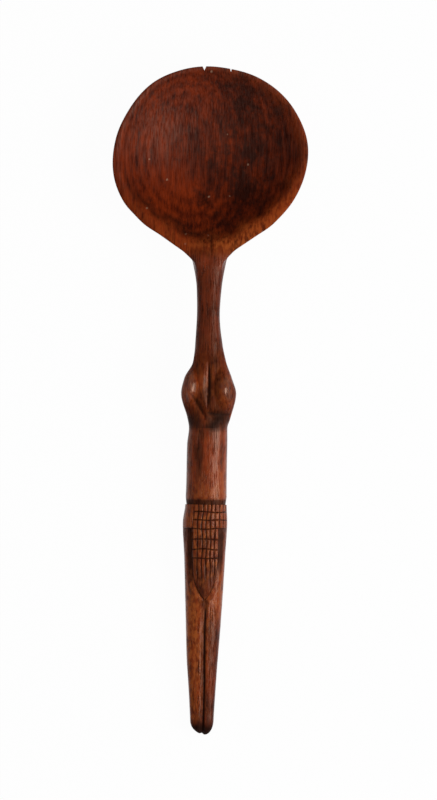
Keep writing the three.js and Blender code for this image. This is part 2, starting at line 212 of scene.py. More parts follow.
def section(y):
    """Middle across, half width, middle height and half depth of the handle at y."""
    left, right, depth = (through([(stop[0], stop[k]) for stop in SECTIONS], y) for k in (1, 2, 3))
    return (right - left) / 2, (right + left) / 2, through(MIDDLE_HEIGHTS, y), depth / 2


print("grip at the torso", round(2 * float(section(np.array([-30.0]))[1][0]), 1), "mm wide")

# %% [markdown]
# ## The bowl as a field of distances
# The bowl is a thin dish, its lip flows into the neck, and its underside runs down a keel. A modeller could
# join two meshes and smooth the joint by hand. Here the wood is written as a field, below nought inside it:
# an outer wall, a flat rim and the neck are blended together, and the hollow is taken away. Every edge then
# gets its round for nothing, the little ones on the rim and the long one under the neck alike. Two small
# checks, where the wood dried and split, are cut into the rim at the tip.

# %% Field of the bowl
RIM_HEIGHT = 20.5
WALL_RISE = 19.5
# share of the reach that is worn flat under the bowl
REST_SHARE = 0.253
HOLLOW_FLOOR = 3.5
HOLLOW_DEPTH = 17
HOLLOW_POWER = 2.5
EDGE_ROUND = 1.5
ROOT_ROUND = 4
# round at the hollow's edge, and what each mm of land adds to it
HOLLOW_ROUND = 0.5
LAND_ROUND = 0.35
# height and spacing of the tool marks
WALL_MARKS = (0.12, 5)
LAND_MARKS = (0.12, 9)
HOLLOW_MARKS = (0.1, 4)
NECK_FADE = 0.5
# place across, half width at the edge and depth of each check
CHECKS = [(-3.3, 0.8, 1.8), (8.6, 0.35, 1.3)]
DEEP_IN_WOOD = -9
# keeps the very middle from having no direction
OFF_MIDDLE = 1e-6


def tool_marks(x, y, marks):
    """Height of the marks that a tool leaves on a surface."""
    return marks[0] * uneven(x, y, marks[1])


def bowl_field(x, y, z):
    """About the distance in mm to the skin of the bowl and the neck's root, below nought in the wood."""
    ahead = y - BOWL_MIDDLE + OFF_MIDDLE
    reach = np.hypot(x, ahead)
    across = x / reach
    along = ahead / reach
    rim = rim_reach(across, along)
    climb = np.maximum(reach / rim - REST_SHARE, 0) / (1 - REST_SHARE)
    wall_slope = 2 * WALL_RISE * climb / ((1 - REST_SHARE) * rim)
    wall = (WALL_RISE * climb ** 2 + tool_marks(x, y, WALL_MARKS) * climb - z) / np.hypot(1, wall_slope)
    land = z - RIM_HEIGHT - tool_marks(x, y, LAND_MARKS)
    hollow = hollow_reach(across, along)
    floor = HOLLOW_FLOOR + HOLLOW_DEPTH * (reach / hollow) ** HOLLOW_POWER + tool_marks(x, y, HOLLOW_MARKS)
    floor_slope = HOLLOW_DEPTH * HOLLOW_POWER * (reach / hollow) ** (HOLLOW_POWER - 1) / hollow
    gouged = (z - floor) / np.hypot(1, floor_slope)
    middle, half, height, deep = section(np.minimum(y, NECK_TOP))
    oval = np.hypot((x - middle) / half, (z - height) / deep)
    neck = (oval - 1) * np.minimum(half, deep) + NECK_FADE * np.maximum(y - NECK_TOP, 0)
    wood = soft_min(soft_max(wall, land, EDGE_ROUND), neck, ROOT_ROUND)
    wood = soft_max(wood, gouged, HOLLOW_ROUND + LAND_ROUND * rim_land(along))
    for place, half_width, depth in CHECKS:
        open_width = half_width * (1 - (rim - reach) / depth)
        split = np.where(along > 0, open_width - np.abs(x - place), DEEP_IN_WOOD)
        wood = np.maximum(wood, split)
    return wood


mid_hollow = bowl_field(np.array([0.0]), np.array([BOWL_MIDDLE]), np.array([HOLLOW_FLOOR + 10]))
print("10 mm above the floor of the hollow the air is", mid_hollow.round(1), "mm from the wood")

# %% [markdown]
# ## Finding the skin of the field
# Each spot of the bowl, seen from above, has one point on its upper skin and one on its lower skin. Both
# are found the way a depth gauge works: step through the thickness, see where the wood starts and ends, and
# halve the step until it is fine enough. The edge of the outline is found in the same way, along each
# direction.

# %% Upper skin, lower skin and edge
LEVELS = np.linspace(-1, 24, 101)
HALVINGS = 22
RIGHT_LEFT = np.array([1.0, -1.0])
WIDER_THAN_NECK = 12.0


def crossing(x, y, air, wood):
    """Height of the skin between a height in the air and one in the wood, found by halving."""
    for _ in range(HALVINGS):
        middle = (air + wood) / 2
        inside = bowl_field(x, y, middle) < 0
        wood = np.where(inside, middle, wood)
        air = np.where(inside, air, middle)
    return (air + wood) / 2


def skins(x, y):
    """Upper and lower height of the bowl's wood at each spot."""
    field = bowl_field(x[..., None], y[..., None], LEVELS)
    inside = field < 0
    found = inside.any(-1)
    first = np.where(found, inside.argmax(-1), 1)
    last = np.where(found, len(LEVELS) - 1 - inside[..., ::-1].argmax(-1), 1)
    upper = crossing(x, y, LEVELS[last + 1], LEVELS[last])
    lower = crossing(x, y, LEVELS[first - 1], LEVELS[first])
    thinnest = LEVELS[field.argmin(-1)]
    return np.where(found, upper, thinnest), np.where(found, lower, thinnest)


def edge_along(start_x, start_y, step_x, step_y, near, far):
    """How far along a direction the outline lies, between a near reach in the wood and a far one outside."""
    for _ in range(HALVINGS):
        middle = (near + far) / 2
        x = start_x + step_x * middle
        y = start_y + step_y * middle
        inside = bowl_field(x[..., None], y[..., None], LEVELS).min(-1) < 0
        near = np.where(inside, middle, near)
        far = np.where(inside, far, middle)
    return near


def edges_across(y, beyond):
    """Right and left edge of the wood on the line square across the spoon at y."""
    return edge_along(0, y, RIGHT_LEFT, np.zeros(2), np.zeros(2), np.full(2, beyond)) * RIGHT_LEFT


seam_edges = edges_across(ROOT, WIDER_THAN_NECK)
print("neck root reaches", seam_edges.round(2), "mm right and left")

# %% [markdown]
# ## Rolling a sheet into a carved form
# Every member is made from a flat grid of faces. Its rows become the sections of the form, its columns run
# along it, and its far edges are welded where they meet. This way one helper makes them all, and the skin
# has an even mesh that can carry fine cuts. Three numbers go with each corner: dark dirt that stays in cuts,
# with painted shade in creases and under forms; worn, the paler wood where hands rub, partly painted light
# on the bowl's rim; and polish, how many times the plain gloss it has.

# %% Helper that rolls a sheet
# edges that turn more than this are drawn as sharp
SHARP = math.radians(55)
WELD = 1e-7


def rolled(name, places, **looks):
    """A closed mesh from rows and columns of places in mm, whose first and last column are the same."""
    rows = places.shape[0] - 1
    columns = places.shape[1] - 1
    sheet = bmesh.new()
    bmesh.ops.create_grid(sheet, x_segments=columns, y_segments=rows, size=1)
    layers = {look: sheet.verts.layers.float.new(look) for look in looks}
    for corner in sheet.verts:
        column = round((corner.co.x + 1) / 2 * columns)
        row = round((corner.co.y + 1) / 2 * rows)
        corner.co = places[row, column] * MM
        for look, values in looks.items():
            corner[layers[look]] = values[row, column]
    bmesh.ops.remove_doubles(sheet, verts=sheet.verts, dist=WELD)
    bmesh.ops.recalc_face_normals(sheet, faces=sheet.faces)
    for face in sheet.faces:
        face.smooth = True
    for edge in sheet.edges:
        edge.smooth = edge.calc_face_angle(0) < SHARP
    mesh = bpy.data.meshes.new(name)
    sheet.to_mesh(mesh)
    open_edges = sum(not edge.is_manifold for edge in sheet.edges)
    sheet.free()
    piece = bpy.data.objects.new(name, mesh)
    bpy.context.scene.collection.objects.link(piece)
    print(name, "has", len(mesh.polygons), "faces and", open_edges, "open edges")
    return piece


# %% [markdown]
# ## Knife cuts
# The fold at the lip, the belt, the scored apron, the cleft and the groove between the legs are V cuts: two
# strokes of a knife that meet at the bottom. Each could be cut out with a wedge-shaped tool mesh, but many
# small cuts that cross leave a ragged mesh. Here a cut is a depth, found from the distance to its middle
# line, so lines that cross share their deepest point and the mesh stays even.

# %% Helpers for cuts
def scored(distance, width):
    """Share of its full depth that a long V cut has at a distance from its middle line."""
    return np.clip(1 - np.abs(distance) / (width / 2), 0, 1)


def stroke(x, y, start, end, walls):
    """Share of its full depth that a straight V cut has at a spot, and how far right of it the spot is.

    The cut runs out at both ends. Its left and its right wall, seen from its start, have their own widths.
    """
    run = np.array(end, float) - np.array(start, float)
    length = math.hypot(*run)
    ahead = ((x - start[0]) * run[0] + (y - start[1]) * run[1]) / length ** 2
    aside = ((x - start[0]) * run[1] - (y - start[1]) * run[0]) / length
    full = np.sqrt(np.clip(1 - (2 * ahead - 1) ** 2, 0, 1))
    return np.clip(full - np.abs(aside) / np.where(aside < 0, *walls), 0, 1), aside


print("half way up its wall a cut 2 mm wide has", scored(0.5, 2), "of its depth")

# %% [markdown]
# ## Bowl
# The bowl's sheet is a disc: its columns fan out from the middle, its rows run out along the upper skin to
# the edge and back along the lower skin. Columns are close together at the corners by the neck and at the
# two small checks in the rim. Across the neck they match the handle's own columns, so that the grain and the
# light run on over the seam.

# %% Directions of the bowl's columns
HALF_COLUMNS = 130
RIM_COLUMNS = 300
CORNER_COLUMNS = 50
CORNER_RUN = 0.2
CHECK_COLUMNS = 24
CHECK_RUN = 1.5
NEAREST_RIM = 30.0
FARTHEST_RIM = 54.0
# just inside the edge, where the upper and the lower skin can still be told apart
JUST_INSIDE = 0.9999
TO_ROOT = ROOT - BOWL_MIDDLE
TO_TIP = TIP - BOWL_MIDDLE

turns = np.linspace(0, 2 * math.pi, 2 * HALF_COLUMNS + 1)
seam_half = abs(seam_edges[0] - seam_edges[1]) / 2 * JUST_INSIDE
seam_x = seam_edges.mean() + seam_half * np.cos(turns[:HALF_COLUMNS + 1])
first_turn = math.atan2(TO_ROOT, seam_x[0])
last_turn = math.atan2(TO_ROOT, seam_x[-1]) + 2 * math.pi
rim_turns = [np.linspace(first_turn, last_turn, RIM_COLUMNS)]
rim_turns.append(np.linspace(first_turn, first_turn + CORNER_RUN, CORNER_COLUMNS))
rim_turns.append(np.linspace(last_turn - CORNER_RUN, last_turn, CORNER_COLUMNS))
for place, half_width, _ in CHECKS:
    beside_check = np.linspace(-CHECK_RUN, CHECK_RUN, CHECK_COLUMNS) * half_width / TO_TIP
    rim_turns.append(math.acos(place / TO_TIP) + beside_check)
rim_turns = np.unique(np.concatenate(rim_turns))
neck_turns = np.arctan2(TO_ROOT, seam_x[::-1]) + 2 * math.pi
fan = np.concatenate([rim_turns, neck_turns[1:]])

near = np.full(len(rim_turns), NEAREST_RIM)
far = np.full(len(rim_turns), FARTHEST_RIM)
rim_end = edge_along(0, BOWL_MIDDLE, np.cos(rim_turns), np.sin(rim_turns), near, far)
neck_end = np.hypot(seam_x[::-1], TO_ROOT)
rim_end[0] = neck_end[-1]
rim_end[-1] = neck_end[0]
fan_end = np.concatenate([rim_end, neck_end[1:]])
print(len(fan), "columns, widest", round(2 * float(np.abs(rim_end * np.cos(rim_turns)).max()), 1), "mm")

# %% [markdown]
# ## Skin of the bowl
# The upper and the lower skin are read off the field at every row of the fan, and drawn together to one edge
# round the rim. Across the neck they stay apart, and the strip between their last rows is the flat end
# there. A knife left a fold down the middle of the lip, and a shallow hollow where the lip turns into the
# neck.

# %% Places on the bowl
UPPER_ROWS = 72
LOWER_ROWS = 48
LIP_FOLD = ((0.9, 75), (0.9, 64.5))
LIP_FOLD_WALLS = (1.3, 1.3)
LIP_FOLD_DEPTH = 0.6
ROOT_FOLD = ((-10, 68), (1.6, 65.2))
ROOT_FOLD_WALLS = (3, 3)
ROOT_FOLD_DEPTH = 0.35


def fan_rows(count):
    """Shares of the reach for a run of rows, close together at the edge."""
    return np.sin(np.linspace(0, math.pi / 2, count + 1))[:, None]


upper_x = fan_rows(UPPER_ROWS) * fan_end * np.cos(fan)
upper_y = BOWL_MIDDLE + fan_rows(UPPER_ROWS) * fan_end * np.sin(fan)
lower_x = fan_rows(LOWER_ROWS)[::-1] * fan_end * np.cos(fan)
lower_y = BOWL_MIDDLE + fan_rows(LOWER_ROWS)[::-1] * fan_end * np.sin(fan)
upper_z = skins(upper_x, upper_y)[0]
lower_z = skins(lower_x, lower_y)[1]
fold = stroke(upper_x, upper_y, *LIP_FOLD, LIP_FOLD_WALLS)[0]
under_lip = eased(stroke(upper_x, upper_y, *ROOT_FOLD, ROOT_FOLD_WALLS)[0], 0, 1)
upper_z = upper_z - np.maximum(LIP_FOLD_DEPTH * fold, ROOT_FOLD_DEPTH * under_lip)

on_rim = np.arange(len(fan)) < len(rim_turns)
on_rim[-1] = True
edge_z = (upper_z[-1] + lower_z[0]) / 2
upper_z[-1] = np.where(on_rim, edge_z, upper_z[-1])
lower_z[0] = np.where(on_rim, edge_z, lower_z[0])
upper = np.stack([upper_x, upper_y, upper_z], -1)
lower = np.stack([lower_x, lower_y, np.maximum(lower_z, 0)], -1)
bowl_places = np.concatenate([upper, lower])
bowl_places[:, -1] = bowl_places[:, 0]
print("the bowl stands", bowl_places[..., 2].max().round(1), "mm high")

# %% [markdown]
# ## Wear and dirt on the bowl
# The rim is paler, most of all on the right and on the flanks by the neck: partly rubbed wear, and partly
# painted light where the rim and the low flanks face the softbox. Just inside the low flanks the wood is
# darker in a band, most on the left, and the hollow under the lip holds painted shade. That could be
# painted by hand. Working it out from the distance past the hollow's edge keeps it on the rim when a size
# changes, and a mottled edge keeps it from looking sprayed on.

# %% Bowl with its wear, dirt, painted light and painted shade
PLAIN_WORN = 0.1
ROOT_SOIL = 0.22
# how far from the neck the bowl's own wear and dirt give way to the neck's
ROOT_FADE = 9
MOTTLE = 1.2
MOTTLE_SPACING = 2.5

past_hollow = fan_rows(UPPER_ROWS) * fan_end - hollow_reach(np.cos(fan), np.sin(fan))
mottled = past_hollow + MOTTLE * uneven(upper_x, upper_y, MOTTLE_SPACING)
low_flank = eased(-np.sin(fan), 0, 0.7)
right_side = eased(np.cos(fan), -0.4, 0.4)
# paler on the right and the low flanks: rubbed wear, and painted light where they face the softbox
rim_wear_and_light = (0.05 + 0.13 * low_flank + 0.4 * right_side) * (1 + low_flank)
upper_wear_and_light = rim_wear_and_light * eased(mottled, -6.5, 2)
upper_wear_and_light = upper_wear_and_light + (PLAIN_WORN - upper_wear_and_light) * eased(upper_y, ROOT + ROOT_FADE, ROOT)
# the bowl's worn look: rubbed wear, with painted light on the rim
bowl_wear_and_light = np.concatenate([upper_wear_and_light, np.full(lower_x.shape, PLAIN_WORN)])
# dirt in the lip's fold, and painted shade in the hollow under the lip
fold_dirt_and_lip_shade = np.maximum(0.5 * eased(fold, 0, 1), 0.25 * under_lip)
# a darker band just inside the hollow's edge on the low flanks, strongest on the left
flank_darkening = 0.5 * low_flank * (1 - 0.7 * right_side) * np.exp(-((mottled + 3) / 2) ** 2)
bowl_soil_and_shade = ROOT_SOIL * eased(bowl_places[..., 1], ROOT + ROOT_FADE, ROOT)
bowl_soil_and_shade[:UPPER_ROWS + 1] += fold_dirt_and_lip_shade
bowl_soil_and_shade[:UPPER_ROWS + 1] += flank_darkening
bowl_looks = {"soil_and_shade": bowl_soil_and_shade, "worn": bowl_wear_and_light, "polish": np.ones_like(bowl_wear_and_light)}
carved_bowl = rolled("carved_bowl", bowl_places, **bowl_looks)

# %% [markdown]
# ## The handle's skin before the fine cuts
# The handle's columns go once round it, starting at the right and passing over the front. Two breasts stand
# on the front of the bust, the left one narrower. The neck and the legs are squarer than an oval. The feet
# end in a round with a notch between them, and the backs of the feet are worn flat.

# %% Plain skin of the handle
FOOT_ROUND = 7
FOOT_POWER = 2.6
FOOT_NOTCH = 0.7
FOOT_NOTCH_WIDTH = 0.8
FOOT_TILT = 0.26
# middle across, middle along, half width, length above, length below, rise
BREASTS = [(-9.2, 7.4, 5.6, 9.5, 10.5, 4.8), (10, 6.2, 7, 11, 11, 4.8)]
BREAST_POWER = 1.3
# place along the spoon, and how much squarer than an oval its section is: 2 is an oval
SQUARENESS = [
    (ROOT, 2), (54, 2.4), (34, 2.4), (SHOULDER - 5, 2.1), (0, 2), (KNEE + 10, 2), (KNEE - 8, 2.4),
    (-115, 2.8), (-135, 3.4),
]


def breast_rise(x, y):
    """Height of the breasts above the oval of the bust."""
    rise = 0 * x
    for across, along, half_width, above, below, top in BREASTS:
        up = (y - along) / np.where(y > along, above, below)
        mound = np.maximum(1 - ((x - across) / half_width) ** 2 - up ** 2, 0)
        rise = np.maximum(rise, top * mound ** BREAST_POWER)
    return rise


def handle_skin(y, turn):
    """Places on the uncut handle, with the direction that points out of the wood in each section."""
    middle, half, height, deep = section(y)
    closing = np.clip(1 - (y - FEET) / FOOT_ROUND, 0, 1)
    shrink = np.sqrt(np.maximum(1 - closing ** FOOT_POWER, 0))
    x = middle + half * shrink * np.cos(turn)
    square = through(SQUARENESS, y)
    bulge = np.sign(np.sin(turn)) * np.maximum(1 - np.abs(np.cos(turn)) ** square, 0) ** (1 / square)
    front = np.maximum(np.sin(turn), 0)
    z = height + deep * shrink * bulge + breast_rise(x, y) * np.sqrt(front)
    out = np.stack([np.cos(turn) / half, 0 * x, np.sin(turn) / deep], -1)
    end_shift = closing ** 2 * (FOOT_NOTCH * np.exp(-(x / FOOT_NOTCH_WIDTH) ** 2) - FOOT_TILT * x)
    return np.stack([x, y + end_shift, z], -1), out / np.linalg.norm(out, axis=-1, keepdims=True)


bust_top = handle_skin(np.array([[6.0]]), turns)[0][..., 2].max()
print("the breasts stand", bust_top.round(1), "mm above the table")

# %% [markdown]
# ## Bust
# A cleft parts the breasts, with a long sloping wall on its left that catches the light and a steep one on
# its right. A crease runs beside the left breast and another under the right one. Each cut gives a depth and
# a darkening: painted shade on the steep side of the cleft and of the left crease, dirt and painted shade
# in the crease under the right breast, and painted shade under the breasts over mottled dirt. A wavering of
# a few tenths of a millimetre keeps the cuts from looking ruled.

# %% Cuts on the bust
CLEFT = ((0.5, -3.6), (0.5, 18.2))
CLEFT_WALLS = (2.5, 2)
CLEFT_DEPTH = 1.1
LEFT_CREASE = ((-0.2, -8.8), (-7.8, 3.4))
LEFT_CREASE_WALLS = (2, 4)
LEFT_CREASE_DEPTH = 1.2
RIGHT_CREASE = ((-1.5, -5.4), (13.5, -6.2))
RIGHT_CREASE_WALLS = (2.4, 4)
RIGHT_CREASE_DEPTH = 0.9
CREASE_WAVER = (0.2, 1.6)


def cleft_sheen_wall(x, y):
    """Where the cleft's sloping left wall faces the light: glossier, and painted a little paler with less
    dirt.
    """
    cleft, right_of_cleft = stroke(x, y, *CLEFT, CLEFT_WALLS)
    return eased(cleft, 0, 0.3) * eased(-right_of_cleft, 0.1, 0.5)


def bust_cuts(x, y, front):
    """Depth of the cleft between the breasts and of the creases beside and under them, with dirt and painted
    shade.
    """
    waver = tool_marks(x, y, CREASE_WAVER)
    cleft, right_of_cleft = stroke(x, y, *CLEFT, CLEFT_WALLS)
    left, right_of_left = stroke(x + waver, y, *LEFT_CREASE, LEFT_CREASE_WALLS)
    left_crease = eased(left, 0, 1)
    right_crease = eased(stroke(x, y + waver, *RIGHT_CREASE, RIGHT_CREASE_WALLS)[0], 0, 1)
    creases = np.maximum(LEFT_CREASE_DEPTH * left_crease, RIGHT_CREASE_DEPTH * right_crease)
    cut = np.maximum(CLEFT_DEPTH * cleft, creases)
    # painted shade on the cleft's steep right wall and its bottom
    shaded_cleft_wall = 0.95 * eased(cleft, 0, 0.6) * eased(right_of_cleft, -0.3, 0.2)
    # painted shade on the left crease's upper-right wall, which faces away from the light
    left_crease_shade = 0.85 * left_crease * eased(right_of_left, -1.6, 0.6)
    # dirt and painted shade in the crease under the right breast
    soil_and_shade = np.maximum(np.maximum(shaded_cleft_wall, left_crease_shade), 0.95 * right_crease)
    # darker lower down the bust: painted shade under the breasts
    lower_down = eased(-y, -2, 6)
    to_the_right = eased(x, 0, 4)
    off_the_tops = 1 - np.where(x < 0, 0.8, 0.5) * eased(breast_rise(x, y), 0.8, 3)
    # mottled dirt, with painted shade under the breasts and less on the breast tops
    mottled_darkening = (0.26 + 0.3 * lower_down + 0.1 * to_the_right + 0.3 * uneven(x, y, 1.9)) * off_the_tops
    # less dirt on the cleft's lit left wall paints it paler, as painted light
    soil_and_shade = np.maximum(soil_and_shade, mottled_darkening * (1 - 0.2 * cleft_sheen_wall(x, y)))
    return front * cut, front * soil_and_shade


# %% [markdown]
# ## Apron
# The apron is a band of scored squares round the hips and a panel that hangs from it, and ends bluntly
# between the knees. The wood beside the panel is cut back in a bevel, so the panel stands proud, with dirt
# and painted shade in the bevels and painted shade on the cut-back hips. The squares are a little pillowed,
# because a knife presses down the wood beside each line. The lines are spaced by eye.

# %% Cuts on the apron
APRON_HALF = 6.4
APRON_LEAN = 0.3
# how bluntly the panel ends: 1 would be a plain point
APRON_TAPER = 6
BAND_LINES = [-49.8, -53.3, -57.3]
PANEL_LINES = [-62.1, -66.5, -70.5]
BAND_END = BAND_LINES[-1]
PANEL_END = PANEL_LINES[-1]
FIRST_COLUMN = -5.6
COLUMN_PITCH = 2.05
COLUMNS = 9
BY_EYE = 0.3
LINE_WIDTH = 0.75
LINE_DEPTH = 0.32
LINE_WAVER = (0.26, 1.9)
PILLOW = 0.14
# width to the left and to the right, and where the cut hip ends on each side
BEVEL_WIDTHS = (2.4, 3)
BEVEL_ENDS = (-70, -60.4)
BEVEL_DEPTH = 0.75
PANEL_EDGE = 0.5
HIP_DEPTH = 0.4


def in_panel(x, y):
    """How far inside the panel's side a spot is, below nought outside it."""
    share = np.clip((BELT - y) / (BELT - KNEE), 0, 1)
    return APRON_HALF * (1 - share ** APRON_TAPER) - np.abs(x - APRON_LEAN * share)


def score_lines(x, y, round_front):
    """Share of full depth of the scored lines and of the pillowing beside them, and where they are."""
    waver = tool_marks(x, y, LINE_WAVER)
    in_band = (y > BAND_END) & (round_front > FIRST_COLUMN)
    on_band = in_band | (np.abs(y - BAND_END) < LINE_WIDTH)
    below_band = (in_panel(x, y) > 0) & (y <= BAND_END)
    line = 0 * x
    pillow = 0 * x
    for place in BAND_LINES + PANEL_LINES:
        kept = on_band if place >= BAND_END else below_band
        line = np.maximum(line, np.where(kept, scored(y - place + waver, LINE_WIDTH), 0))
        pillow = np.maximum(pillow, np.where(kept, scored(y - place + waver, COLUMN_PITCH), 0))
    fading = eased(y, PANEL_END - 17, PANEL_END - 5)
    kept = np.where(in_band, 1, np.where(below_band, fading, 0))
    for number in range(COLUMNS):
        by_eye = BY_EYE * math.sin(5.3 * number)
        aside = round_front - FIRST_COLUMN - COLUMN_PITCH * number + by_eye + waver
        line = np.maximum(line, kept * scored(aside, LINE_WIDTH))
        pillow = np.maximum(pillow, kept * scored(aside, COLUMN_PITCH))
    return line, pillow, in_band | below_band


def apron_cuts(x, y, round_front):
    """Depth of the scored band round the hips, of the panel below it and of its bevels, with dirt and
    painted shade.
    """
    line, pillow, on_apron = score_lines(x, y, round_front)
    inside = in_panel(x, y)
    below = y < BAND_END
    beside = np.where(inside > 0, inside / PANEL_EDGE, -inside / np.where(x < 0, *BEVEL_WIDTHS))
    border = np.where(below, np.clip(1 - beside, 0, 1), 0)
    hip_end = np.where(x < 0, *BEVEL_ENDS)
    hip = np.where(below & (inside < 0), np.clip((y - hip_end) / (BAND_END - hip_end), 0, 1), 0)
    cut_back = np.maximum(BEVEL_DEPTH * border, HIP_DEPTH * hip)
    cut = np.maximum(LINE_DEPTH * line + PILLOW * pillow ** 2, cut_back)
    # dirt and painted shade in the bevels, stronger lower down
    bevel_dirt_and_shade = 0.85 * eased(border, 0, 0.5) * eased(y, KNEE + 6, PANEL_END)
    # darkest at the panel's edge; the cut-back hips beside the panel get painted shade
    dirt = np.maximum(np.maximum(bevel_dirt_and_shade, 0.85 * eased(border, 0.75, 1)), 0.65 * eased(hip, 0, 0.8))
    lower_down = eased(-y, -PANEL_END, -PANEL_END + 8)
    mottled_darkening = 0.08 + 0.24 * pillow + 0.12 * uneven(x, y, 3) + 0.25 * lower_down
    dirt = np.maximum(dirt, np.where(on_apron, mottled_darkening, 0))
    facing = eased(np.sin(turns), -0.1, 0.35)
    return cut * facing, np.maximum(0.88 * eased(line, 0, 0.6), dirt) * facing


# %% [markdown]
# ## Belt and legs
# The belt is a ledge: the torso slopes in and meets the fuller apron at a sharp step, and the slope and a
# band under the bust are darkened as painted shade. One long groove parts the legs, with a sloping wall on
# the left and a steep one on the right. It deepens towards the feet, the whole groove is darker, and painted
# shade is darkest at its bottom and up its steep right wall. The torso also has a smear of grime down its
# front.

# %% Cuts for the belt and between the legs
BELT_RUN = 3.4
BELT_DEPTH = 0.55
TORSO_GRIME = ((-3.4, -37), (-1.8, -11))
TORSO_GRIME_WALLS = (3.6, 3.2)
GROOVE_PLACE = [(KNEE, 0.7), (-100, 0.6), (FEET, 0.6)]
GROOVE_LEFT_WALL = [(KNEE, 2.7), (-98, 2.3), (FEET, 1.9)]
GROOVE_RIGHT_WALL = [(KNEE, 1.7), (-98, 1.1), (FEET, 0.9)]
GROOVE_DEPTH = [(KNEE + 1, 0.0), (KNEE - 1, 0.4), (-103, 0.9), (-140, 1.1), (FEET, 1.3)]
GROOVE_END = 2


def torso_cuts(x, y, front):
    """Depth of the slope that runs in to the belt, with painted shade there and under the bust, and grime on
    the front.
    """
    slope = np.clip(1 - (y - BELT) / BELT_RUN, 0, 1) + 0 * x
    # painted shadow in a band under the bust
    under_bust_shadow = front * (0.4 + 0.15 * uneven(x, y, 2.2)) * eased(y, UNDERBUST - 2.5, UNDERBUST)
    # painted shade on the lower part of the slope into the belt, which faces down
    soil_and_shade = 0.8 * eased(slope, 0.1, 0.5) + under_bust_shadow
    grime = stroke(x, y, *TORSO_GRIME, TORSO_GRIME_WALLS)[0] + 0.3 * uneven(x, y, 1.7)
    return BELT_DEPTH * slope, np.maximum(soil_and_shade, 0.6 * front * eased(grime, 0.1, 0.8))


def leg_cuts(x, y, front):
    """Depth of the groove that parts the legs, its darkening, painted shade and dirt, and more dirt down the
    right leg.
    """
    open_front = front * np.clip((y - FEET) / GROOVE_END, 0, 1)
    from_middle = x - through(GROOVE_PLACE, y) + 0.12 * uneven(y, x, 6)
    wall = np.where(from_middle < 0, through(GROOVE_LEFT_WALL, y), through(GROOVE_RIGHT_WALL, y))
    share = open_front * np.clip(1 - np.abs(from_middle) / wall, 0, 1)
    knee_dirt = 0.5 * np.clip(1 - np.hypot((x - 0.6) / 2.4, (y - KNEE + 2) / 4), 0, 1)
    below_knee = eased(-y, -KNEE - 1, -KNEE + 6)
    # painted shade at the groove's bottom and up its steep right wall
    groove_bottom_shade = 0.95 * eased(share, 0.1, 0.7) * eased(from_middle, -0.7, -0.1) * below_knee
    # the whole groove a little darker
    groove_darkening = (0.4 + 0.15 * uneven(x, y, 3)) * eased(share, 0, 0.4)
    groove_dirt_and_shade = np.maximum(np.maximum(groove_bottom_shade, groove_darkening), open_front * knee_dirt)
    right_dirt = (0.24 + 0.1 * uneven(x, y, 2.6)) * eased(x, 1, 3) * eased(-y, -KNEE, -KNEE + 14)
    return through(GROOVE_DEPTH, y) * share, np.maximum(groove_dirt_and_shade, front * right_dirt)


# %% [markdown]
# ## Where the neck meets the bowl
# The wood runs on from the lip into the neck, but the two skins are made in two ways. So the neck starts
# from the very ring where the bowl ended and fades into its own oval within a few millimetres. It also
# starts with the bowl's own slope, as far as that doesn't make it dip under the oval, so that only a soft
# line is left in a low light.

# %% Ring and slope at the seam
SEAM_RUN = 7
SEAM_STEP = 0.4
WIDER_THAN_ROOT = 15.0
SEAM_INSIDE = 0.999

neck_columns = slice(len(rim_turns) - 1, None)
seam_ring = np.empty((len(turns), 3))
seam_ring[:HALF_COLUMNS + 1] = upper[-1, neck_columns][::-1]
seam_ring[HALF_COLUMNS:] = lower[0, neck_columns]


def root_ring(y):
    """The ring where a plane at y cuts the bowl's root, in the order of the handle's columns."""
    edges = edges_across(y, WIDER_THAN_ROOT)
    x = edges.mean() + abs(edges[0] - edges[1]) / 2 * SEAM_INSIDE * np.cos(turns)
    top, bottom = skins(x, y + 0 * x)
    return np.stack([x, y + 0 * x, np.where(np.sin(turns) >= 0, top, bottom)], -1)


plain_ring, plain_next = handle_skin(np.array([[ROOT], [ROOT + SEAM_STEP]]), turns)[0]
bowl_climb = (root_ring(ROOT + SEAM_STEP) - root_ring(ROOT))[:, 2]
plain_climb = (plain_next - plain_ring)[:, 2]
seam_step = seam_ring - plain_ring
# a fade that starts steeper than this would dip under the neck before it ends
steepest = np.maximum(3 * seam_step[:, 2] / SEAM_RUN, 0)
seam_lean = np.clip((bowl_climb - plain_climb) / SEAM_STEP, 0, steepest)
print("the lip stands", seam_step[:, 2].max().round(2), "mm above the plain neck where they meet")

# %% [markdown]
# ## Wear on the handle
# The torso, the hips and the left leg are rubbed pale, and the tops of the breasts shine. The feet are black
# with dirt, and the neck is darker than the legs. Curves along the spoon give the plain amounts, and each
# member then adds its own.

# %% Wear, dirt and polish of the handle
POLISH = [(ROOT, 1), (50, 0.85), (SHOULDER, 0.85), (UNDERBUST, 1), (BELT, 1.05), (KNEE, 0.85), (FEET, 0.7)]
WORN = [
    (ROOT, PLAIN_WORN), (SHOULDER, 0.25), (17, 0.3), (UNDERBUST, 0.4), (BELT, 0.5), (KNEE, 0.75),
    (-130, 0.45), (FEET, 0.2),
]
BREAST_MIDDLE = 8
BREAST_SPAN = 17


def handle_soil(x, y):
    """Dirt on the feet and on the neck, which is cleaner where it meets the bowl."""
    feet = 0.97 * eased(y + 0.8 * uneven(x, y, 1.5), FEET + 9, FEET + 3)
    return feet + 0.43 * eased(y, 8, 20) - 0.21 * eased(y, ROOT - ROOT_FADE, ROOT)


def handle_worn(x, y, half, round_front):
    """Wear along the handle, uneven, with the left leg rubbed and the right one dull."""
    worn = through(WORN, y) * (1 + 0.5 * uneven(round_front, y, 7) * eased(ROOT - y, 0, 4))
    left_rubbed = np.clip(-x / half, 0, 1) * eased(-y, 66, 86)
    right_dull = np.clip(x / half, 0, 1) * eased(-y, -KNEE + 2, -KNEE + 14)
    return worn * (1 + 0.9 * left_rubbed - right_dull)


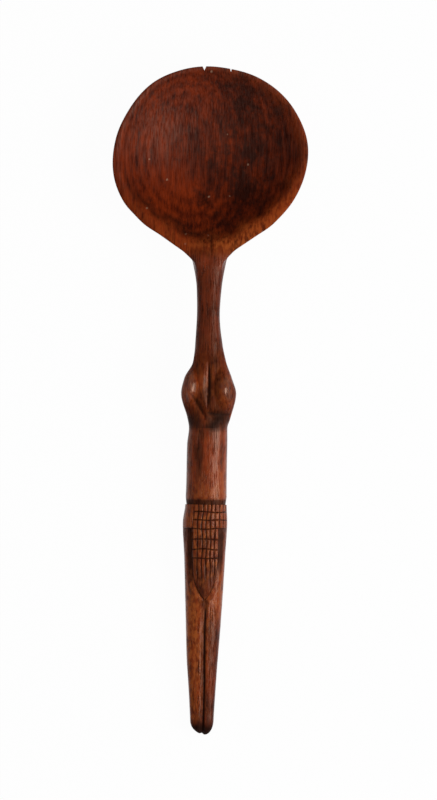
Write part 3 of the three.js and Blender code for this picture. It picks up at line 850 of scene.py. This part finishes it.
def handle_polish(x, y, half):
    """Polish along the handle, less on the left side."""
    return through(POLISH, y) * (1 - 0.5 * np.clip(-x / half, 0, 1) * eased(ROOT - y, 0, 8))


def bust_polish(polish, x, y, front):
    """Polish of the bust: bright tops on the breasts, dull sides, and a glossier wall in the cleft that
    faces the light.
    """
    near = eased(BREAST_SPAN - np.abs(y - BREAST_MIDDLE), 0, 6)
    facing = np.sin(turns)
    on_left = x < 0
    high_up = eased(breast_rise(x, y), np.where(on_left, 0.8, 2.6), np.where(on_left, 3, 4.6))
    tops = eased(facing, 0.5, 0.75) * high_up
    polish = polish * (1 + (np.where(on_left, 5, 3.4) * tops - 0.55) * near)
    polish = polish * (1 - 0.8 * eased(facing, 0.75, 0.35) * near)
    return polish + 0.45 * front * cleft_sheen_wall(x, y)


print("the torso is worn to", round(float(through(WORN, np.array([-30.0]))[0]), 2), "of bare wood")

# %% [markdown]
# ## Neck, bust, torso, apron and legs
# One function cuts any stretch of the handle. It takes the plain skin, pushes it in by the depth of the
# cuts, and hands the rows to the rolling helper, with a point in the middle of each end to close it. Rows
# are closest where the cuts are finest, on the apron, so that few faces are spent on plain wood.

# %% Carve one stretch of the handle
HAND_MARKS = (0.07, 4)


def carve(name, rows):
    """One member of the handle, from the rows of places along it."""
    y = np.asarray(rows, float)[:, None]
    bare, out = handle_skin(y, turns)
    below_root = np.clip((ROOT - y) / SEAM_RUN, 0, 1)
    bare = bare + eased(below_root, 1, 0)[..., None] * seam_step
    bare[..., 2] -= SEAM_RUN * below_root * (1 - below_root) ** 2 * seam_lean
    x = bare[..., 0]
    front = eased(np.sin(turns), 0, 0.3)
    half, deep = section(y)[1], section(y)[3]
    from_top = math.pi / 2 - np.where(turns > 1.5 * math.pi, turns - 2 * math.pi, turns)
    round_front = from_top * (half + deep) / 2
    worn = handle_worn(x, y, half, round_front)
    polish = handle_polish(x, y, half)
    cut = 0 * x
    own_soil_and_shade = 0 * x
    if name == "carved_bust":
        cut, own_soil_and_shade = bust_cuts(x, y, front)
        polish = bust_polish(polish, x, y, front)
    if name == "carved_torso":
        cut, own_soil_and_shade = torso_cuts(x, y, front)
    if name == "carved_apron":
        cut, own_soil_and_shade = apron_cuts(x, y, round_front)
        worn = worn * (1 + 0.7 * uneven(round_front, y, 0.9) * eased(APRON_HALF - np.abs(x), 0, 1.5))
    if name == "carved_legs":
        cut, own_soil_and_shade = leg_cuts(x, y, front)
    off_the_ends = eased(ROOT - y, 0, 4) * eased(y, FEET, FEET + 3)
    hand = tool_marks(round_front, y, HAND_MARKS) * off_the_ends
    places = bare - out * (cut - hand)[..., None]
    places[..., 2] = np.maximum(places[..., 2], 0)
    places[:, -1] = places[:, 0]
    middles = places[:, :-1].mean(1, keepdims=True) + 0 * places
    places = np.concatenate([middles[:1], places, middles[-1:]])
    # the first look carries dirt and the painted shade from the cuts
    looks = {"soil_and_shade": np.maximum(handle_soil(x, y), own_soil_and_shade), "worn": worn, "polish": polish}
    looks = {look: np.concatenate([values[:1], values, values[-1:]]) for look, values in looks.items()}
    return rolled(name, places, **looks)


def evenly(high, low, pitch):
    """Rows from high to low, about a pitch apart."""
    return np.linspace(high, low, round((high - low) / pitch) + 1)


# %% Carve the five members of the handle
FOOT_ROWS = 30

carved_neck = carve("carved_neck", evenly(ROOT, SHOULDER, 0.5))
carved_bust = carve("carved_bust", evenly(SHOULDER, UNDERBUST, 0.25))
carved_torso = carve("carved_torso", evenly(UNDERBUST, BELT, 0.4))
carved_apron = carve("carved_apron", evenly(BELT, KNEE, 0.18))
foot_rows = FEET + FOOT_ROUND * (1 - np.sin(np.linspace(0, math.pi / 2, FOOT_ROWS)))
carved_legs = carve("carved_legs", np.concatenate([evenly(KNEE, FEET + FOOT_ROUND, 0.4)[:-1], foot_rows]))

# %% [markdown]
# ## Oiled hardwood
# Dense tropical hardwood, knife finished, oiled and rubbed by hands for years: a deep red-brown with fine
# pores along the grain, growth rings that show as arcs where the hollow cuts across them, dark dirt in every
# cut with painted shade in creases and under forms, and paler orange where hands rub, partly painted light
# on the bowl's rim. The surface is satin, so light spreads softly on round forms. A picture of wood would
# stretch and show seams. Noise that fills the space of the spoon is cut by its forms just as grain is.

# %% Helpers for colours and nodes
def colour(code):
    """Linear colour from an sRGB hex value."""
    parts = [int(code[k:k + 2], 16) / 255 for k in (1, 3, 5)]
    return [part / 12.92 if part <= 0.04045 else ((part + 0.055) / 1.055) ** 2.4 for part in parts] + [1]


def add(tree, kind, inputs, **settings):
    """Adds a node, sets it up, and fills its sockets with values or with links from other nodes."""
    made = tree.nodes.new(kind)
    for key, value in settings.items():
        setattr(made, key, value)
    for key, value in inputs.items():
        if isinstance(value, bpy.types.NodeSocket):
            tree.links.new(value, made.inputs[key])
        else:
            made.inputs[key].default_value = value
    return made


print("middle grey in linear light is", round(colour("#808080")[0], 3))

# %% [markdown]
# ### Patterns in the wood
# Each noise has a width in millimetres. Squeezing its space along the spoon draws it out into grain, pores
# or flecks. Real pores are a tenth of a millimetre wide, too fine to show, so they are drawn about half a
# millimetre wide. The rings lie round the heart of the tree, which was below the spoon and to its left.

# %% Sockets with the patterns
# width in mm, squeeze of the space across, along and up, detail and roughness
NOISES = {
    "grain": (10 / 9, (1, 0.06, 0.4), 5, 0.62),
    "pore_noise": (10 / 18, (1, 0.09, 0.5), 2, 0.5),
    "flecks": (4 / 3, (1, 0.5, 0.8), 3, 0.5),
    "blotches": (100 / 11, (1, 1, 1), 7, 0.68),
    "patches": (100 / 7, (1, 1, 1), 4, 0.6),
}
RING_PITCH = 3.4907
# how far the middle of the spoon lies to the right of the heart of the tree, and above it
FROM_HEART = (18, 0, 26)
# length of one wave of the wave texture at a scale of 1
WAVE_LENGTH = math.pi / 10


def wood_patterns(tree):
    """Sockets by name: the place in mm, the patterns of the wood, and the looks that the corners carry."""
    wood = {}
    object_place = add(tree, "ShaderNodeTexCoord", {}).outputs["Object"]
    in_mm = {0: object_place, 1: (1 / MM, 1 / MM, 1 / MM)}
    place = add(tree, "ShaderNodeVectorMath", in_mm, operation="MULTIPLY").outputs[0]
    wood["place"] = place
    for name, (width, squeeze, detail, roughness) in NOISES.items():
        squeezed = add(tree, "ShaderNodeMapping", {"Vector": place, "Scale": squeeze}).outputs[0]
        noise = {"Vector": squeezed, "Scale": 1 / width, "Detail": detail, "Roughness": roughness}
        wood[name] = add(tree, "ShaderNodeTexNoise", noise).outputs[0]
    heart = add(tree, "ShaderNodeMapping", {"Vector": place, "Location": FROM_HEART}).outputs[0]
    waves = {"Vector": heart, "Scale": WAVE_LENGTH / RING_PITCH, "Distortion": 5}
    waves.update({"Detail": 2, "Detail Scale": 0.25})
    kind = {"wave_type": "RINGS", "rings_direction": "Y", "wave_profile": "SIN"}
    wood["rings"] = add(tree, "ShaderNodeTexWave", waves, **kind).outputs["Fac"]
    for look in ("soil_and_shade", "worn", "polish"):
        wood[look] = add(tree, "ShaderNodeAttribute", {}, attribute_name=look).outputs["Fac"]
    sides = add(tree, "ShaderNodeSeparateXYZ", {"Vector": place}).outputs
    wood["across"] = sides["X"]
    wood["along"] = sides["Y"]
    for name, start, end in (("in_bowl", 62, 85), ("past_lip", 63, 67)):
        run = {"Value": wood["along"], "From Min": start, "From Max": end}
        wood[name] = add(tree, "ShaderNodeMapRange", run).outputs[0]
    deep = add(tree, "ShaderNodeMapRange", {"Value": wood["pore_noise"], "From Min": 0.56, "From Max": 0.7})
    clear = add(tree, "ShaderNodeMapRange", {"Value": wood["in_bowl"], "To Min": 0.6, "To Max": 0.22})
    pores = {0: deep.outputs[0], 1: clear.outputs[0]}
    wood["pores"] = add(tree, "ShaderNodeMath", pores, operation="MULTIPLY").outputs[0]
    return wood


# %% [markdown]
# ### Stains, painted shade and specks
# The hollow is stained dark in blotches, and its right half is painted darker still as shade. Rubbing has
# taken the stain off the rim again. A few pale specks about a millimetre wide lie in the hollow. Both are
# placed by noise, because only their kind and their size matter, and not each one.

# %% Shares of stain with painted shade, and of specks
SPECK_PITCH = 100 / 11


def dark_stains_and_shade(tree, wood):
    """How much dark stain covers the wood, with painted shade added over the hollow's right half."""
    # painted shade over the right half of the hollow, short of the rim
    right = {"Value": wood["across"], "From Min": -14, "From Max": 14}
    short_of_rim = {"Value": wood["across"], "From Min": 38, "From Max": 22}
    right_half_shade = wood["in_bowl"]
    for limits in (right, short_of_rim):
        limit = add(tree, "ShaderNodeMapRange", limits).outputs[0]
        right_half_shade = add(tree, "ShaderNodeMath", {0: right_half_shade, 1: limit}, operation="MULTIPLY").outputs[0]
    stain = wood["blotches"]
    for pattern, weight in ((right_half_shade, 0.21), (wood["flecks"], 0.24)):
        sums = {0: pattern, 1: weight, 2: stain}
        stain = add(tree, "ShaderNodeMath", sums, operation="MULTIPLY_ADD").outputs[0]
    limits = {"Value": stain, "From Min": 0.67, "From Max": 0.91, "To Max": 0.9}
    stain = add(tree, "ShaderNodeMapRange", limits).outputs[0]
    not_worn = {0: wood["worn"], 1: -1.1, 2: 1}
    left_on = add(tree, "ShaderNodeMath", not_worn, operation="MULTIPLY_ADD", use_clamp=True).outputs[0]
    return add(tree, "ShaderNodeMath", {0: stain, 1: left_on}, operation="MULTIPLY").outputs[0]


def pale_specks(tree, wood):
    """How much of a pale speck covers the wood: one ragged spot in a few of the cells, in the bowl only."""
    grid = {"Vector": wood["place"], "Scale": 1 / SPECK_PITCH}
    cells = add(tree, "ShaderNodeTexVoronoi", grid, voronoi_dimensions="2D", feature="F1").outputs
    sums = {0: wood["flecks"], 1: 0.2, 2: cells["Distance"]}
    ragged = add(tree, "ShaderNodeMath", sums, operation="MULTIPLY_ADD").outputs[0]
    limits = {"Value": ragged, "From Min": 0.16, "From Max": 0.12, "To Max": 0.45}
    speck = add(tree, "ShaderNodeMapRange", limits).outputs[0]
    chance = add(tree, "ShaderNodeSeparateColor", {"Color": cells["Color"]}).outputs[0]
    chosen = add(tree, "ShaderNodeMath", {0: chance, 1: 0.82}, operation="GREATER_THAN").outputs[0]
    for limit in (chosen, wood["in_bowl"]):
        speck = add(tree, "ShaderNodeMath", {0: speck, 1: limit}, operation="MULTIPLY").outputs[0]
    return speck


# %% [markdown]
# ### Colour
# The colour is built up in layers: dark and pale wood by grain, rings and patches, then bare wood where
# hands rub, partly painted light on the bowl's rim, stains, partly painted shade in the hollow's right half,
# pores, specks and last the dirt with painted shade. Each layer lies over the ones before it, as the wear,
# stains and dirt do on the real spoon. The wood of the bowl is a little redder than that of the handle.

# %% Colour of the wood
TONE_START = -0.1
TONE_WEIGHTS = {"grain": 0.9, "rings": 0.12, "patches": 0.8}
DARK_WOOD = "#330b04"
# on the handle, in the bowl
PALE_WOOD = ("#7c2b0c", "#73260a")
# rubbed wood, which on the bowl's rim is partly painted light
BARE_AND_LIT_WOOD = ("#954a1e", "#8a3a14")
# dark stain, also used for painted shade in the hollow's right half
STAIN_AND_SHADE = "#260c07"
PORES = "#240c06"
SPECKS = "#a5846c"
# dirt, and painted shade in creases, on steep walls and under forms
DIRT_AND_SHADE = "#1c0d09"


def wood_colour(tree, wood):
    """Colour of the wood, from the deepest layer to the dirt and painted shade on top."""
    tone = TONE_START
    for pattern, weight in TONE_WEIGHTS.items():
        sums = {0: wood[pattern], 1: weight, 2: tone}
        tone = add(tree, "ShaderNodeMath", sums, operation="MULTIPLY_ADD").outputs[0]
    tone = add(tree, "ShaderNodeMapRange", {"Value": tone, "From Min": 0.58, "From Max": 1.01}).outputs[0]
    by_place = []
    for handle, bowl in (PALE_WOOD, BARE_AND_LIT_WOOD):
        both = {0: wood["in_bowl"], 6: colour(handle), 7: colour(bowl)}
        by_place.append(add(tree, "ShaderNodeMix", both, data_type="RGBA").outputs[2])
    pale, bare = by_place
    limits = {"Value": wood["flecks"], "From Min": 0.38, "From Max": 0.62, "To Min": 0.2, "To Max": 1.05}
    rubbing = add(tree, "ShaderNodeMapRange", limits).outputs[0]
    # rubbed wood, partly painted light on the bowl's rim
    rubbed = add(tree, "ShaderNodeMath", {0: wood["worn"], 1: rubbing}, operation="MULTIPLY").outputs[0]
    # bare wood is partly painted light on the rim, the stain partly painted shade, the dirt partly painted
    # shade
    layers = [
        (tone, pale), (rubbed, bare),
        (dark_stains_and_shade(tree, wood), colour(STAIN_AND_SHADE)), (wood["pores"], colour(PORES)),
        (pale_specks(tree, wood), colour(SPECKS)), (wood["soil_and_shade"], colour(DIRT_AND_SHADE)),
    ]
    seen = colour(DARK_WOOD)
    for share, over in layers:
        seen = add(tree, "ShaderNodeMix", {0: share, 6: seen, 7: over}, data_type="RGBA").outputs[2]
    return seen


# %% [markdown]
# ### Sheen
# Oil and rubbing give the handle a satin gloss, broken up by the fibres and dulled by dirt and painted
# shade. In the hollow the gloss is rougher, and it grows towards the tip. The grain and the pores also
# catch the light, as a relief of at most three tenths of a millimetre. That is too fine for the mesh, so
# a bump gives it.

# %% Gloss, roughness and relief
HANDLE_GLOSS = 0.28
RELIEF = 0.3 * MM
ROUGH_WEIGHTS = {"soil_and_shade": 0.3, "polish": -0.05, "past_lip": 0.3}


def wood_gloss(tree, wood):
    """How strongly the surface reflects."""
    to_tip = {"Value": wood["along"], "From Min": 88, "From Max": 140, "To Min": 0.05, "To Max": 0.31}
    hollow_gloss = add(tree, "ShaderNodeMapRange", to_tip).outputs[0]
    gloss = add(tree, "ShaderNodeMix", {0: wood["past_lip"], 2: HANDLE_GLOSS, 3: hollow_gloss}).outputs[0]
    clean = add(tree, "ShaderNodeMapRange", {"Value": wood["soil_and_shade"], "To Min": 1, "To Max": 0.2}).outputs[0]
    limits = {"Value": wood["pore_noise"], "From Min": 0.36, "From Max": 0.62, "To Min": 1.5, "To Max": 0.45}
    fibres = add(tree, "ShaderNodeMapRange", limits).outputs[0]
    for factor in (clean, fibres, wood["polish"]):
        gloss = add(tree, "ShaderNodeMath", {0: gloss, 1: factor}, operation="MULTIPLY").outputs[0]
    return gloss


def wood_roughness(tree, wood):
    """How far the surface spreads what it reflects."""
    satin = {"Value": wood["grain"], "To Min": 0.17, "To Max": 0.33}
    rough = add(tree, "ShaderNodeMapRange", satin).outputs[0]
    for look, weight in ROUGH_WEIGHTS.items():
        sums = {0: wood[look], 1: weight, 2: rough}
        rough = add(tree, "ShaderNodeMath", sums, operation="MULTIPLY_ADD").outputs[0]
    return rough


def wood_relief(tree, wood):
    """Raised grain and sunk pores."""
    sums = {0: wood["pores"], 1: -1, 2: wood["grain"]}
    height = add(tree, "ShaderNodeMath", sums, operation="MULTIPLY_ADD").outputs[0]
    return add(tree, "ShaderNodeBump", {"Height": height, "Strength": 0.8, "Distance": RELIEF}).outputs[0]


# %% Oiled hardwood put together
def oiled_hardwood():
    """Oiled hardwood: satin red-brown, pores and rings along the spoon, dirt and painted shade, rubbed edges
    partly painted light.
    """
    material = bpy.data.materials.new("oiled_hardwood_satin")
    material.use_nodes = True
    tree = material.node_tree
    shader = tree.nodes["Principled BSDF"]
    wood = wood_patterns(tree)
    tree.links.new(wood_colour(tree, wood), shader.inputs["Base Color"])
    tree.links.new(wood_gloss(tree, wood), shader.inputs["Specular IOR Level"])
    tree.links.new(wood_roughness(tree, wood), shader.inputs["Roughness"])
    tree.links.new(wood_relief(tree, wood), shader.inputs["Normal"])
    shader.inputs["Specular Tint"].default_value = colour("#ffdcc4")
    return material


hardwood = oiled_hardwood()
members = {
    "bowl": carved_bowl, "neck": carved_neck, "bust": carved_bust,
    "torso": carved_torso, "apron": carved_apron, "legs": carved_legs,
}
for node, piece in members.items():
    piece.data.materials.append(hardwood)
    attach(piece, "root")
    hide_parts(node)
print(len(members), "members dressed in", hardwood.name)

# %% [markdown]
# ## Studio floor
# The spoon lies on a plain white sheet. Lit as brightly as it looks, the sheet would throw light up at the
# wood. So most of its white is given only to what sees it, the camera and reflections, and the rest takes
# the soft shadow.

# %% White sheet
FLOOR_HALF = 3
FLOOR_DROP = 0.1 * MM
GLOW_SHARE = 0.97


def white_floor():
    """A matt white sheet."""
    material = bpy.data.materials.new("white_paper_floor")
    material.use_nodes = True
    tree = material.node_tree
    tree.nodes.remove(tree.nodes["Principled BSDF"])
    matt = add(tree, "ShaderNodeBsdfDiffuse", {"Color": colour("#d8d8d8")}).outputs[0]
    glow = add(tree, "ShaderNodeEmission", {"Color": (1, 1, 1, 1), "Strength": 1}).outputs[0]
    ray = add(tree, "ShaderNodeLightPath", {}).outputs
    seen = ray["Is Camera Ray"]
    for kind in ("Is Glossy Ray", "Is Transmission Ray"):
        seen = add(tree, "ShaderNodeMath", {0: seen, 1: ray[kind]}, operation="MAXIMUM").outputs[0]
    share = add(tree, "ShaderNodeMath", {0: seen, 1: GLOW_SHARE}, operation="MULTIPLY").outputs[0]
    both = add(tree, "ShaderNodeMixShader", {0: share, 1: matt, 2: glow}).outputs[0]
    tree.links.new(both, tree.nodes["Material Output"].inputs["Surface"])
    return material


sheet = bmesh.new()
bmesh.ops.create_grid(sheet, x_segments=1, y_segments=1, size=FLOOR_HALF)
floor_mesh = bpy.data.meshes.new("paper_floor")
sheet.to_mesh(floor_mesh)
sheet.free()
floor = bpy.data.objects.new("paper_floor", floor_mesh)
floor.location = (0, 0, -FLOOR_DROP)
bpy.context.scene.collection.objects.link(floor)
floor.data.materials.append(white_floor())
print("the sheet is", 2 * FLOOR_HALF, "m wide")

# %% [markdown]
# ## Light
# The photograph has one broad softbox at the right, which draws the long highlights down the handle, and a
# little fill from the left and all round.

# %% Softboxes and air
AIR_STRENGTH = 0.36


def softbox(name, place, width, height, power):
    """A studio lamp that points at the middle of the spoon."""
    lamp = bpy.data.lights.new(name, "AREA")
    lamp.shape = "RECTANGLE"
    lamp.size = width
    lamp.size_y = height
    lamp.energy = power
    holder = bpy.data.objects.new(name, lamp)
    holder.location = place
    holder.rotation_euler = holder.location.to_track_quat("Z", "Y").to_euler()
    bpy.context.scene.collection.objects.link(holder)
    print(name, "gives", power, "W")


softbox("key_softbox", (0.88, -0.14, 0.82), width=0.9, height=0.7, power=12.4)
softbox("left_softbox", (-0.7, 0.3, 0.95), width=1.0, height=1.0, power=1.4)
world = bpy.data.worlds.new("studio_air")
world.use_nodes = True
world.node_tree.nodes["Background"].inputs["Color"].default_value = (1, 1, 1, 1)
world.node_tree.nodes["Background"].inputs["Strength"].default_value = AIR_STRENGTH
bpy.context.scene.world = world

# %% [markdown]
# ## Camera
# The camera looks straight down from far off, so the spoon's height hardly changes its outline. Its lens is
# worked out from the height of the view, and it is turned a little, as the spoon lies in the photograph.

# %% Camera
VIEW_HEIGHT = 359 * MM
CAMERA_HEIGHT = 5.0
# height at which the view has that size: about the middle of the spoon
SIZED_PLANE = 15 * MM
CAMERA_ASIDE = (5.26 * MM, 0.5 * MM)
CAMERA_TURN = 0.01514
camera = bpy.data.cameras.new("camera")
camera.sensor_fit = "VERTICAL"
camera.lens = camera.sensor_height * (CAMERA_HEIGHT - SIZED_PLANE) / VIEW_HEIGHT
camera.clip_start = 0.01
camera_holder = bpy.data.objects.new("camera", camera)
camera_holder.location = (*CAMERA_ASIDE, CAMERA_HEIGHT)
camera_holder.rotation_euler = (0, 0, CAMERA_TURN)
bpy.context.scene.collection.objects.link(camera_holder)
bpy.context.scene.camera = camera_holder
bpy.context.scene.view_settings.view_transform = "Standard"
print("camera lens", round(camera.lens, 1), "mm")
